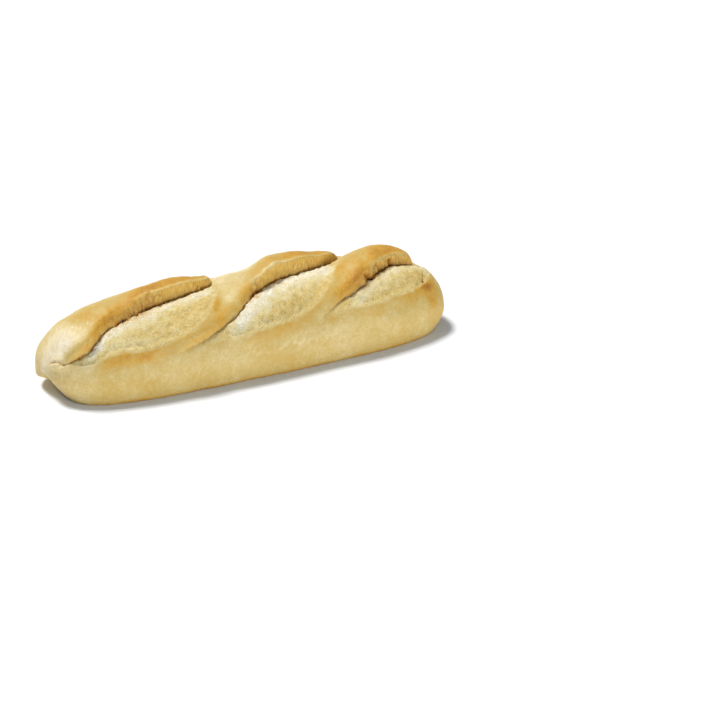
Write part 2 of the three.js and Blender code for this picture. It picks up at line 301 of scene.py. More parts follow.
# painted shade: the crust darker along its low edge next to the cut face
EDGE_SHADE = 0.25
EDGE_START = 0.8  # share of the way down to the cut face from which on its edge is painted darker, as painted shade
BLISTER_PALE = 0.22
TOAST_AND_LIGHT_PATCHES = [
    # painted highlight: paler crust on the top of the heel's dome
    (-118, 65, 11, 20, -0.39),
    (-100, 80, 6, 8, 0.24),
    (-106, 25, 6, 5, -0.25),
    (-88, 24, 16, 5, 0.19),
    (-92, -4, 20, 8, 0.1),
    (-77, 81, 10, 5, 0.06),
    # painted shade: a browner pocket on the band next to the second cut's rolled crust
    (-28, 56, 4.5, 9, 0.22),
    # painted highlight: paler crust beside that pocket
    (-17, 62, 5, 6, -0.2),
    (-24, 48, 6, 4, -0.2),
    (-72, 88, 22, 7, 0.1),
    # painted highlight: paler crust on the top behind the second ear
    (5, 104, 22, 14, -0.25),
    (24, 31, 9, 4, -0.14),
    (30, 9, 22, 8, -0.08),
    (36, 100, 14, 6, 0.08),
    (37, 25, 5, 3, 0.2),
    (58, 66, 13, 11, 0.25),
    (84, 92, 17, 9, 0.12),
    (83, 30, 10, 4, -0.16),
    (118, 25, 12, 26, 0.16),
    (108, 26, 4.5, 9, 0.26),
    (107, 42, 8, 4, 0.24),
    (118, 150, 14, 40, 0.2),
]


def paint(red, green, blue):
    """Linear colour of a screen colour given from 0 to 255."""
    screen = np.array([red, green, blue]) / 255
    linear = np.where(screen <= 0.04045, screen / 12.92, ((screen + 0.055) / 1.055) ** 2.4)
    return (*linear.tolist(), 1.0)


# Colours and finish
CRUST_COLOURS = [
    # the palest stop also serves the painted highlight on the heel's dome
    (0.0, paint(254, 238, 206)),
    (0.3, paint(222, 199, 142)),
    (0.5, paint(209, 179, 106)),
    (0.72, paint(207, 157, 60)),
    (1.0, paint(170, 109, 34)),
]
TORN_COLOURS = [
    (0.0, paint(190, 154, 82)),
    (0.3, paint(218, 190, 120)),
    (0.5, paint(230, 210, 154)),
    (0.75, paint(233, 219, 182)),
    (1.0, paint(248, 242, 224)),
]
TORN_BASE = 0.3  # place on those colours of a torn surface without flour
WALL_COLOURS = [
    (0.3, paint(200, 150, 62)),
    (0.5, paint(216, 174, 85)),
    (0.7, paint(228, 192, 105)),
]
CRUMBLE_COLOURS = [
    (0.38, paint(146, 88, 22)),
    (0.5, paint(204, 154, 68)),
    (0.64, paint(228, 192, 112)),
]
# Crumb colour, darker towards 1 as painted shade inside the pores
CRUMB_AND_PORE_SHADE_COLOURS = [
    (0.0, paint(226, 213, 176)),
    (0.5, paint(216, 198, 146)),
    (1.0, paint(194, 168, 104)),
]
CREAM = paint(246, 224, 164)
# painted shade in the pits and dimples of the torn surfaces
PIT_SHADE_TAN = paint(190, 152, 84)
# Brown and painted shade of the crevices, holes and cracks
CREVICE_BROWN_AND_SHADE_COLOURS = [
    (0.2, paint(214, 180, 102)),
    (0.6, paint(190, 130, 46)),
    (1.0, paint(172, 108, 30)),
]
FLOOR_WHITE = paint(245, 246, 250)
FLOOR_ROUGHNESS = 0.9
CRUST_ROUGHNESS = 0.55
CRUST_SHEEN = 0.25
TORN_ROUGHNESS = 0.9
CRUMB_ROUGHNESS = 0.9
PIT_SHADE = 0.2
BUMP_DEPTH = 0.8
CRUST_BUMP = 0.2  # share of that depth that grain has on plain crust; torn surface adds all of it
WALL_BUMP = 0.3  # share of it that fibres add on a wall
CRUMB_BUMP = 0.5

# Noise in the materials: widths of its bumps, and how far it moves a place on the colours above
GRAIN_DETAIL = 3.0
CRUST_GRAIN_WAVE = 1.1
CRUST_GRAIN = 0.35
CRUST_CLOUD_WAVE = 3.0
CRUST_CLOUDS = 0.22
TORN_GRAIN = 0.5
TORN_CLOUD_WAVE = 3.5
TORN_CLOUDS = 0.5
FIBRE_GRAIN_WAVE = 0.8
FIBRE_STRETCH = (1, 4, 4)
FRAY_WAVE = 1.5
FRAY_STRETCH = (1, 2.5, 2.5)
CREVICE_STREAKS = 2.0
PORE_GRAIN_WAVE = 1.4
PORE_GRAIN = 0.7
CRUMB_GRAIN_WAVE = 1.0
CRUMB_GRAIN_DETAIL = 4.0

# Studio, in metres, and the camera, in millimetres like the loaf
FLOOR_SIZE = 6.0
FLOOR_GAP = 0.1  # how far the floor lies below the cut face, in millimetres
SKY_COLOUR = (0.6, 0.8, 1.0, 1.0)
SKY_STRENGTH = 0.27
KEY_COLOUR = (1.0, 0.97, 0.93)
KEY_STRENGTH = 3.4
KEY_SPREAD = 16.0
KEY_WAY = (0.21, -0.42, -1.0)
FILL_POWER = 15.5
FILL_SIZE = 0.5
FILL_PLACE = (0.3, -1.58, 0.13)
CAMERA_AZIMUTH = -27.5
CAMERA_ELEVATION = 24.3
CAMERA_DISTANCE = 1000.0
CAMERA_TARGET = (52.6, -40.9, 0.0)
CAMERA_LENS = 86.2


def ease(start, end, value):
    """Smooth step from 0 at start to 1 at end."""
    share = np.clip((value - start) / (end - start), 0, 1)
    return share * share * (3 - 2 * share)


def mixed(low, high, share):
    """Value that lies the given share of the way from low to high."""
    return low + (high - low) * share


def hump(value, middle, reach):
    """Bell curve of height 1."""
    return np.exp(-(((value - middle) / reach) ** 2))


def curve_through(knots, x):
    """Curve through (x, value) knots that never overshoots them."""
    places, values = np.array(knots, float).T
    runs = np.diff(places)
    slopes = np.diff(values) / runs
    knot_slopes = np.concatenate([slopes[:1], np.zeros(len(runs) - 1), slopes[-1:]])
    for i in range(1, len(runs)):
        if slopes[i - 1] * slopes[i] > 0:
            near = 2 * runs[i] + runs[i - 1]
            far = runs[i] + 2 * runs[i - 1]
            knot_slopes[i] = (near + far) / (near / slopes[i - 1] + far / slopes[i])
    inside = np.clip(x, places[0], places[-1])
    i = np.clip(np.searchsorted(places, inside, side="right") - 1, 0, len(runs) - 1)
    run = runs[i]
    t = (inside - places[i]) / run
    rest = 1 - t
    return (
        (1 + 2 * t) * rest * rest * values[i]
        + t * rest * rest * run * knot_slopes[i]
        + t * t * (3 - 2 * t) * values[i + 1]
        - t * t * rest * run * knot_slopes[i + 1]
    )


def rounded(u, power):
    """Half size left of a rounded-square profile at share u of its length."""
    return np.maximum(1 - u**power, 0) ** (1 / power)


def quarter_arc(share):
    """Height of a quarter circle that starts upright at share 0 and is level at share 1."""
    return np.sqrt(1 - (1 - share) ** 2)


def lattice_noise(points, wave, seed):
    """Smooth noise from -1 to 1 with bumps about one wave apart; wave may differ along X, Y and Z."""
    table = np.random.default_rng(seed).uniform(-1, 1, (LATTICE, LATTICE, LATTICE))
    place = points / wave
    cell = np.floor(place).astype(int)
    part = place - cell
    part = part**3 * (part * (6 * part - 15) + 10)
    total = np.zeros(points.shape[:-1])
    for corner in itertools.product((0, 1), repeat=3):
        share = np.where(corner, part, 1 - part).prod(-1)
        i, j, k = np.moveaxis((cell + corner) % LATTICE, -1, 0)
        total += share * table[i, j, k]
    return total


def fractal_noise(points, wave, seed, octaves=3):
    """Noise with finer and finer bumps, each octave half as wide and half as high."""
    total = 0
    for octave in range(octaves):
        total = total + lattice_noise(points, wave / 2**octave, seed + octave) / 2**octave
    return total


def pit_field(points, spacing, seed, share):
    """1 in the middle of scattered round pits and 0 between them; share of the cells have a pit."""
    draw = np.random.default_rng(seed)
    cells = (LATTICE, LATTICE, LATTICE)
    shift = draw.uniform(0, 1, (*cells, 3))
    size = draw.uniform(*PIT_SIZES, cells)
    size[draw.uniform(0, 1, cells) > share] = 0
    place = points / spacing
    cell = np.floor(place).astype(int)
    deepest = np.zeros(points.shape[:-1])
    for step in itertools.product((-1, 0, 1), repeat=3):
        near = cell + step
        i, j, k = np.moveaxis(near % LATTICE, -1, 0)
        gap = np.linalg.norm(near + shift[i, j, k] - place, axis=-1)
        reach = np.maximum(size[i, j, k], TINY)
        deepest = np.maximum(deepest, np.clip(1 - (gap / reach) ** 2, 0, 1))
    return deepest


def station_places():
    """Places along X at even steps of the plan outline."""
    turn = np.linspace(-math.pi / 2, math.pi / 2, OUTLINE_STEPS + 1)
    x = LENGTH / 2 * np.sign(turn) * np.abs(np.sin(turn)) ** (2 / PLAN_POWER)
    y = WIDTH / 2 * np.abs(np.cos(turn)) ** (2 / PLAN_POWER)
    run = np.concatenate([[0], np.cumsum(np.hypot(np.diff(x), np.diff(y)))])
    return np.interp((np.arange(STATIONS) + 0.5) / STATIONS * run[-1], run, x)


def tucked(x, y, z):
    """Place along X once both ends draw in towards the cut face."""
    back = ease(-HEEL_TURN, HEEL_TURN, y)
    heel = np.clip(1 - z / mixed(*HEEL_STEPS, back), 0, 1)
    toe = np.clip(1 - z / WIDEST, 0, 1)
    heel_tuck = HEEL_TUCK * mixed(heel**HEEL_CURVE, heel * (2 - heel), back)
    tuck = np.where(x < 0, heel_tuck, TOE_TUCK * toe * toe)
    u = np.abs(x) / (LENGTH / 2)
    return x - np.sign(x) * tuck * u**TUCK_POWER


def skirt_share(angle):
    """Share of the way down from the widest line to the cut face, on either side."""
    return np.maximum(np.maximum(-angle, angle - HALF_TURN), 0) / SKIRT


def body_points(x, angle):
    """Points of the plain body with their outward normals and tangents to the front."""
    u = np.abs(x) / (LENGTH / 2)
    half = WIDTH / 2 * rounded(u, PLAN_POWER)
    dome = (CREST - WIDEST) * np.where(x < 0, rounded(u, HEEL_POWER), rounded(u, TOE_POWER))
    turn = np.radians(np.clip(angle, 0, HALF_TURN))
    across = np.cos(turn)
    up = np.abs(np.sin(turn))
    below = skirt_share(angle)
    side = -np.sign(across)
    drawn_in = half * (1 - SIDE_TUCK * below * below)
    y = side * drawn_in * np.abs(across) ** (2 / SECTION_POWER)
    z = np.where(below > 0, WIDEST * (1 - below), WIDEST + dome * up ** (2 / SECTION_POWER))
    point = np.stack([tucked(x, y, z), y, z], -1)
    bend = 2 - 2 / SECTION_POWER
    normal = np.stack([0 * y, side * np.abs(across) ** bend / half, up**bend / dome], -1)
    normal /= np.linalg.norm(normal, axis=-1, keepdims=True)
    front = np.stack([0 * y, -normal[..., 2], normal[..., 1]], -1)
    return point, normal, front


def wall_width(cut, x):
    """Width from the crevice to the top of the rolled crust or of the torn wall."""
    return mixed(ROLL_WIDTH, WALL_WIDTH, ease(*cut["opens"], x))


def cut_zone(cut, x, angle, jag):
    """Sizes of one cut at every point, and the distance behind its crevice."""
    start, end = cut["span"]
    zone = SimpleNamespace()
    started = ease(start - END_RUN, start + END_FADE, x)
    zone.active = started * (1 - ease(end - END_FADE, end + END_RUN, x))
    along = np.clip((x - start) / (end - start), 0, 1) ** cut["skew"]
    zone.spread = np.maximum(np.sin(math.pi * along), 0) ** cut["blunt"]
    zone.ear = np.maximum(curve_through(cut["ear"], x), 0)
    zone.swell = np.maximum(curve_through(cut["swell"], x), 0)
    zone.opened = ease(*cut["opens"], x)
    zone.torn = cut["torn"]
    zone.wall = wall_width(cut, x)
    zone.width = np.maximum(cut["bloom"] * zone.spread * DEGREE, LEAST_BLOOM)
    zone.reach = mixed(*cut["back"], ease(start, start + BAND_RUN, x))
    away = (angle - curve_through(cut["path"], x)) * DEGREE
    # Opening is 1 halfway along the fringe and 0 at both its ends
    frayed = ease(*cut["fringe"], x)
    zone.opening = zone.active * 4 * frayed * (1 - frayed)
    ragged = jag * zone.active * mixed(1, OPENING_JAG, zone.opening)
    zone.away = away + ragged * hump(away, 0, np.where(away < 0, JAG_BEFORE, JAG_BEHIND))
    return zone


def cut_relief(zone):
    """Rise along the normal and lean to the front that one cut adds to the body."""
    depth = CREVICE_DEPTH * zone.active * np.minimum(zone.ear / FULL_CREVICE_EAR, 1)
    depth = depth * mixed(CLOSED_CREVICE, 1, zone.opened)
    before = np.maximum(-zone.away, 0)
    bulge = BLOOM_RISE * zone.spread * np.sin(math.pi * np.clip(before / zone.width, 0, 1) ** BLOOM_PEAK)
    ridge = LIP_RISE * zone.active * np.minimum(LIP_GROWTH * zone.spread, 1)
    lip = ridge * hump(before, zone.width, np.where(before < zone.width, LIP_INSIDE, LIP_OUTSIDE))
    torn_rise = bulge - depth * hump(before, 0, CREVICE_REACH) + lip
    share = np.clip(zone.away / zone.wall, 0, 1)
    behind_wall = np.clip((zone.away - zone.wall) / RIM_ROUND, 0, 1)
    torn_edge = mixed(zone.torn * ease(0, 1, share), 1, quarter_arc(behind_wall))
    edge = mixed(quarter_arc(share), torn_edge, zone.opened)
    height = mixed(zone.ear, zone.swell, ease(zone.wall, zone.wall + RIM_BLEND, zone.away))
    fall = 1 - ease(zone.wall + RIM_WIDTH, zone.wall + RIM_WIDTH + zone.reach, zone.away)
    ear_rise = height * edge * fall - depth * (1 - ease(0, CREVICE_FADE, share))
    lean = mixed(ROLL_LEAN, WALL_LEAN, zone.opened) * zone.active
    lean = lean * np.minimum(zone.ear / FULL_LEAN_EAR, 1) * ease(LEAN_FOOT, 1, share)
    lean = lean * (1 - ease(zone.wall + LEAN_TOP, zone.wall + LEAN_END, zone.away))
    behind = zone.away > 0
    return np.where(behind, ear_rise, torn_rise), np.where(behind, lean, 0)


def row_angles(x):
    """Section angles of the rows at each station: tight along every cut, even between them."""
    x = x[:, None]
    skirt = SKIRT * (1 - np.arange(SKIRT_ROWS) / SKIRT_ROWS) + 0 * x
    low = 0 * x
    rows = [-skirt, low]

    def add_even(to, count):
        rows.append(low + (to - low) * np.arange(1, count + 1) / (count + 1))

    near, far = SPREAD_RUN
    for cut, count in zip(reversed(CUTS), ROWS_BETWEEN):
        start, end = cut["span"]
        active = ease(start - far, start - near, x) * (1 - ease(end + near, end + far, x))
        wall = wall_width(cut, x)
        offsets = np.concatenate([ROWS_BEFORE + 0 * x, ROWS_ON_WALL * wall, wall + ROWS_AFTER], 1)
        line = curve_through(cut["path"], x) + offsets * mixed(IDLE_SPREAD, 1, active) / DEGREE
        add_even(line[:, :1], count)
        rows.append(line)
        low = line[:, -1:]
    add_even(HALF_TURN, ROWS_BETWEEN[-1])
    rows += [HALF_TURN + 0 * x, HALF_TURN + skirt[:, ::-1]]
    return np.concatenate(rows, 1)


def grid_normals(points):
    """Outward normals of a grid of points, from its neighbours along both ways."""
    along = np.gradient(points, axis=0)
    across = np.gradient(points, axis=1)
    normal = np.cross(along, across)
    return normal / np.maximum(np.linalg.norm(normal, axis=-1, keepdims=True), TINY)


def spots(places, x, angle):
    """Sum of soft spots: place along X, section angle, reach along and across, and strength of each."""
    total = np.zeros_like(x)
    for place, middle, reach, width, strength in places:
        total += strength * hump(x, place, reach) * hump(angle * DEGREE, middle * DEGREE, width)
    return total


def cut_look(zone, surface, wander, breaks, x):
    """Shares from 0 to 1 that say what one cut makes of the surface, and how much it browns it, with the
    painted shade of its crevice.
    """
    before = -zone.away
    lip_gap = before - zone.width + LIP_WANDER * wander
    rim_gap = zone.away - zone.wall
    cut_in = np.minimum(zone.ear / FULL_CREVICE_EAR, 1) * zone.active
    look = SimpleNamespace()
    torn = zone.active * ease(*TORN_NEAR, before) * (1 - ease(*TORN_FAR, lip_gap))
    look.torn = torn * ease(*TORN_START, zone.spread)
    flour_away = ease(FLOUR_FULL, surface["flour_end"], before + FLOUR_WANDER * wander)
    flour = surface["flour"] * (1 - flour_away) * ease(*FLOUR_START, zone.spread)
    look.flour = look.torn * flour
    wall_top = zone.wall * zone.opened + WALL_WANDER * wander
    wall = zone.active * ease(*WALL_FOOT, zone.away) * (1 - ease(*WALL_TOP, zone.away - wall_top))
    look.wall = wall * np.minimum(zone.ear / FULL_WALL_EAR, 1) * zone.opened
    frayed = zone.opening * hump(zone.away, CRUMB_PLACE, CRUMB_REACH)
    look.crumbs = np.maximum(frayed, surface["ragged"] * look.wall)
    # Brown along the crevice, partly painted shade, reaching onto the torn surface in front
    brown_and_shade_reach = np.where(zone.away < 0, CREVICE_BEFORE, CREVICE_BEHIND)
    brown_and_shade = cut_in * hump(zone.away, 0, brown_and_shade_reach * mixed(1, OPENING_BROWN_AND_SHADE, zone.opening))
    look.crevice = brown_and_shade * mixed(CLOSED_BROWN_AND_SHADE, 1, zone.opened) * mixed(BROKEN_BROWN_AND_SHADE, 1, breaks)
    rim_pale = surface["rim"] * (1 - ease(*surface["rim_fade"], x)) * zone.opened**RIM_LINE_GROWTH
    rim_line = rim_pale * cut_in * hump(rim_gap, RIM_LINE_PLACE, RIM_LINE_REACH)
    lip_grown = zone.active * np.minimum(LIP_GROWTH * zone.spread, 1)
    lip_line = LIP_CREAM * lip_grown * hump(lip_gap, 0, LIP_LINE_REACH)
    look.pale = mixed(BROKEN_PALE, 1, breaks) * np.maximum(rim_line, lip_line)
    rim_toast = cut_in * zone.opened * ease(*RIM_BROWNS, rim_gap) * (1 - ease(*RIM_ENDS, rim_gap))
    rolled = cut_in * (1 - zone.opened)
    roll_toast = rolled * ease(*ROLL_BROWNS, zone.away) * (1 - ease(*ROLL_ENDS, rim_gap))
    lip_toast = zone.active * zone.spread * ease(*LIP_BROWNS, lip_gap) * (1 - ease(*LIP_ENDS, lip_gap))
    look.toast = np.maximum(RIM_TOAST * rim_toast + ROLL_TOAST * roll_toast, LIP_TOAST * lip_toast)
    return look


def crust_masks(zones, points, x, angle):
    """Shares from 0 to 1 that say what the surface is at every point, and how brown it is, with painted
    highlights and painted shade in that.
    """
    wander = fractal_noise(points, WANDER_WAVE, SEEDS["wander"])
    breaks = ease(*BREAK_CHANGE, fractal_noise(points, BREAK_WAVE, SEEDS["breaks"]))
    cut_looks = [cut_look(zone, surface, wander, breaks, x) for zone, surface in zip(zones, SURFACES)]
    look = SimpleNamespace()
    for name in vars(cut_looks[0]):
        setattr(look, name, np.max([getattr(each, name) for each in cut_looks], 0))
    look.flour += spots(FLOURED, x, angle)
    # Browning, with the painted highlights and painted shade of some patches
    look.toast += TOAST_LEVEL + spots(TOAST_AND_LIGHT_PATCHES, x, angle)
    look.toast += TOAST_WIDE * fractal_noise(points, WIDE_WAVE, SEEDS["wide"])
    look.toast += TOAST_FINE * fractal_noise(points, FINE_WAVE, SEEDS["fine"])
    # painted shade along the low edge next to the cut face
    look.toast += EDGE_SHADE * ease(EDGE_START, 1, skirt_share(angle))
    blisters = pit_field(points, BLISTER_SPACING, SEEDS["blister"], BLISTER_SHARE)
    look.blister = blisters * np.clip(spots(BLISTERED, x, angle), 0, 1)
    look.toast -= BLISTER_PALE * look.blister
    return look


def segment_gap(x, run, start, end):
    """Distance from points (x, run) to a straight segment."""
    way = np.subtract(end, start)
    share = np.clip(((x - start[0]) * way[0] + (run - start[1]) * way[1]) / way.dot(way), 0, 1)
    return np.hypot(x - start[0] - share * way[0], run - start[1] - share * way[1])


def fine_relief(look, points, x, angle):
    """Height of the small unevenness along the normal."""
    run = angle * DEGREE
    height = SOFT_RISE * fractal_noise(points, SOFT_WAVE, SEEDS["soft"])
    height += PEBBLE_RISE * fractal_noise(points, PEBBLE_WAVE, SEEDS["pebble"])
    rough = look.torn * mixed(TORN_CALM, 1, look.flour)
    height += TORN_RISE * rough * fractal_noise(points, TORN_WAVE, SEEDS["torn"])
    fibres = fractal_noise(points, np.array(FIBRE_WAVE), SEEDS["fibre"], FEW_OCTAVES)
    height += FIBRE_RISE * look.wall * fibres
    crumbs = fractal_noise(points, CRUMB_WAVE, SEEDS["crumbs"], FEW_OCTAVES)
    height += CRUMB_RISE * look.crumbs * crumbs
    height += BLISTER_RISE * look.blister
    # Pits and dimples, which the crust colour darkens as painted shade
    look.pit = look.torn * (1 - look.flour) * pit_field(points, PIT_SPACING, SEEDS["pit"], PIT_SHARE)
    height -= PIT_DEPTH * look.pit
    for place, middle, reach, width, depth in DIMPLES:
        gap = np.hypot((x - place) / reach, (run - middle * DEGREE) / width)
        rim = DIMPLE_RIM * hump(gap, DIMPLE_RIM_PLACE, DIMPLE_RIM_REACH)
        height -= depth * (hump(gap, 0, 1) - rim)
        look.pit = np.maximum(look.pit, look.torn * hump(gap, 0, 1))
    uneven = ease(*HOLE_CHANGE, fractal_noise(points, HOLE_WAVE, SEEDS["hole"]))
    holes = spots(HOLES, x, angle) * mixed(*HOLE_UNEVEN, uneven)
    height -= HOLE_DEPTH * holes
    # the holes add to the crevices' brown and painted shade
    look.crevice = np.maximum(look.crevice, holes)
    for crack in CRACKS:
        start, end = [(place, middle * DEGREE) for place, middle in (crack["start"], crack["end"])]
        line = hump(segment_gap(x, run, start, end), 0, crack["width"])
        height -= crack["depth"] * line
        # brown and painted shade along the crack
        look.crevice = np.maximum(look.crevice, crack["brown_and_shade"] * line)
    return height


def pore_share(points):
    """Share of their depth that pores have, because the crumb is denser in some parts than in others."""
    opened = ease(*DENSE_CHANGE, fractal_noise(points, DENSE_WAVE, SEEDS["dense"]))
    return mixed(LEAST_PORES, 1, opened)


def base_points(first, last):
    """Rows of the cut face from the back edge to the front edge, with open pores."""
    inset = BASE_INSET / WIDTH
    share = np.linspace(inset, 1 - inset, BASE_ROWS)[None, :, None]
    flat = last[:, None] + (first - last)[:, None] * share
    edge_gap = np.minimum(share, 1 - share)[..., 0]
    pores = 0
    for i, spacing in enumerate(PORE_SPACING):
        pores = pores + pit_field(flat, spacing, SEEDS["pore"] + i, PORE_SHARE)
    pores = np.clip(pores, 0, 1) * edge_gap / inset
    pores = np.clip(pores, 0, 1) * pore_share(flat)
    grain = GRAIN_RISE * (1 + fractal_noise(flat, GRAIN_WAVE, SEEDS["grain"]))
    lift = np.clip(PORE_DEPTH * pores + grain, 0, None)
    flat[..., 2] += lift * ease(0, PORE_RUN * inset, edge_gap)
    return flat, pores


def loaf_rings():
    """Points of every ring round the loaf, crust then cut face, and what the surface is there."""
    x = station_places()
    angle = row_angles(x)
    x = np.repeat(x[:, None], angle.shape[1], 1)
    points, normal, front = body_points(x, angle)
    jag = JAG_RISE * np.clip(fractal_noise(points, JAG_WAVE, SEEDS["jag"]), -1, 1)
    waver = RIM_WAVER * fractal_noise(points * (1, 0, 0), WAVER_WAVE, SEEDS["waver"])
    zones = [cut_zone(cut, x, angle, jag) for cut in CUTS]
    for zone in zones:
        zone.ear = zone.ear + waver * np.minimum(zone.ear / FULL_LEAN_EAR, 1)
        rise, lean = cut_relief(zone)
        points = points + rise[..., None] * normal + lean[..., None] * front
    look = crust_masks(zones, points, x, angle)
    calm = ease(0, END_CALM, WIDTH / 2 * rounded(np.abs(x) / (LENGTH / 2), PLAN_POWER))
    height = fine_relief(look, points, x, angle) * calm
    points = points + height[..., None] * grid_normals(points)
    points[..., 2] = np.maximum(points[..., 2], 0)
    points[:, [0, -1], 2] = 0
    base, look.pore = base_points(points[:, 0], points[:, -1])
    return np.concatenate([points, base], 1), look


def seam_points(x):
    """The upright seam where front and back rows meet at one end, from the cut face up to the pole."""
    z = WIDEST * np.arange(SKIRT_ROWS + 1) / SKIRT_ROWS
    return np.stack([tucked(np.full_like(z, x), 0 * z, z), 0 * z, z], -1)


def ring_indices(stations, ring, crust_rows):
    """Vertex numbers of all rings, with the rows of both end rings welded along their seams."""
    rows = np.arange(ring)
    on_seam = np.minimum(np.minimum(rows, crust_rows - 1 - rows), SKIRT_ROWS)
    on_seam = np.where(rows < crust_rows, on_seam, 0)
    inner = np.arange(stations * ring).reshape(stations, ring)
    heel = inner.size + on_seam
    return np.vstack([heel, inner, heel + SKIRT_ROWS + 1])


def loaf_faces(indices):
    """Corners of every face as vertex numbers and as places on the unrolled loaf."""
    rings, ring = indices.shape
    closed = np.hstack([indices, indices[:, :1]])
    across, along = np.meshgrid(np.arange(ring + 1) / ring, np.arange(rings) / (rings - 1))
    unrolled = np.stack([along, across], -1)

    def corners(grid):
        around = [grid[:-1, :-1], grid[1:, :-1], grid[1:, 1:], grid[:-1, 1:]]
        return np.stack(around, 2).reshape((rings - 1) * ring, 4, *grid.shape[2:])

    faces = []
    places = []
    for face, place in zip(corners(closed).tolist(), corners(unrolled).tolist()):
        kept = [k for k in range(4) if face[k] != face[k - 1]]
        faces.append([face[k] for k in kept])
        places.extend(place[k] for k in kept)
    return faces, places


def store_masks(mesh, look, stations, ring):
    """Keep the masks on the mesh: pores on the rows of the cut face, all others on the crust."""
    crust_rows = ring - BASE_ROWS
    for name, values in vars(look).items():
        mask = np.zeros((stations, ring))
        columns = slice(crust_rows, ring) if name == "pore" else slice(0, crust_rows)
        mask[:, columns] = values
        seams = [mask[0, : SKIRT_ROWS + 1], mask[-1, : SKIRT_ROWS + 1]]
        layer = mesh.attributes.new(name, "FLOAT", "POINT")
        layer.data.foreach_set("value", np.concatenate([mask.ravel(), *seams]))


def loaf_piece():
    """The loaf as one closed mesh that stands for its solid."""
    points, look = loaf_rings()
    stations, ring, _ = points.shape
    crust_rows = ring - BASE_ROWS
    indices = ring_indices(stations, ring, crust_rows)
    faces, places = loaf_faces(indices)
    seams = [seam_points(-LENGTH / 2), seam_points(LENGTH / 2)]
    vertices = np.concatenate([points.reshape(-1, 3), *seams]) * MM
    mesh = bpy.data.meshes.new("loaf")
    mesh.from_pydata(vertices.tolist(), [], faces)
    mesh.uv_layers.new(name="OFBake").data.foreach_set("uv", np.ravel(places))
    store_masks(mesh, look, stations, ring)
    row_of_face = np.tile(np.arange(ring), len(faces) // ring)
    mesh.materials.append(crust_material())
    mesh.materials.append(crumb_material())
    mesh.polygons.foreach_set("material_index", (row_of_face >= crust_rows - 1).astype(int))
    mesh.polygons.foreach_set("use_smooth", np.ones(len(faces), bool))
    mesh.update()
    piece = bpy.data.objects.new("baked_loaf_half", mesh)
    bpy.context.scene.collection.objects.link(piece)
    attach(piece, "root")
    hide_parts(NODE)


class Graph:
    """A material's nodes in short calls: a socket passed as a value is linked, a number is set."""

    # Places of the colour sockets among those of a mix node
    LOW_COLOUR = 6
    HIGH_COLOUR = 7
    MIXED_COLOUR = 2

    def __init__(self, name):
        self.material = bpy.data.materials.new(name)
        self.material.use_nodes = True
        self.nodes = self.material.node_tree.nodes
        self.shader = self.nodes["Principled BSDF"]
        self.place = self.nodes.new("ShaderNodeTexCoord").outputs["Object"]

    def put(self, socket, value):
        if isinstance(value, bpy.types.NodeSocket):
            self.material.node_tree.links.new(value, socket)
        else:
            socket.default_value = value

    def mask(self, name):
        node = self.nodes.new("ShaderNodeAttribute")
        node.attribute_name = name
        return node.outputs["Fac"]

    def noise(self, wave, detail=2.0, stretch=(1, 1, 1)):
        """Noise from 0 to 1 with bumps about one wave wide, in millimetres, longer by stretch."""
        scaled = self.nodes.new("ShaderNodeVectorMath")
        scaled.operation = "DIVIDE"
        self.put(scaled.inputs[0], self.place)
        scaled.inputs[1].default_value = [wave * MM * way for way in stretch]
        node = self.nodes.new("ShaderNodeTexNoise")
        self.put(node.inputs["Vector"], scaled.outputs[0])
        node.inputs["Scale"].default_value = 1.0
        node.inputs["Detail"].default_value = detail
        return node.outputs["Fac"]

    def math(self, operation, first, second):
        node = self.nodes.new("ShaderNodeMath")
        node.operation = operation
        self.put(node.inputs[0], first)
        self.put(node.inputs[1], second)
        return node.outputs[0]

    def shifted(self, value, noise, amount):
        """Value with noise of the given height on it."""
        centred = self.math("SUBTRACT", noise, 0.5)
        return self.math("ADD", value, self.math("MULTIPLY", centred, amount))

    def ramp(self, value, stops):
        node = self.nodes.new("ShaderNodeValToRGB")
        self.put(node.inputs["Fac"], value)
        elements = node.color_ramp.elements
        while len(elements) < len(stops):
            elements.new(0.5)
        for element, (place, colour) in zip(elements, stops):
            element.position = place
            element.color = colour
        return node.outputs["Color"]

    def mix(self, share, low, high):
        node = self.nodes.new("ShaderNodeMix")
        node.data_type = "RGBA"
        self.put(node.inputs[0], share)
        self.put(node.inputs[self.LOW_COLOUR], low)
        self.put(node.inputs[self.HIGH_COLOUR], high)
        return node.outputs[self.MIXED_COLOUR]

    def bump(self, height, depth):
        node = self.nodes.new("ShaderNodeBump")
        node.inputs["Distance"].default_value = depth * MM
        self.put(node.inputs["Height"], height)
        self.put(self.shader.inputs["Normal"], node.outputs["Normal"])


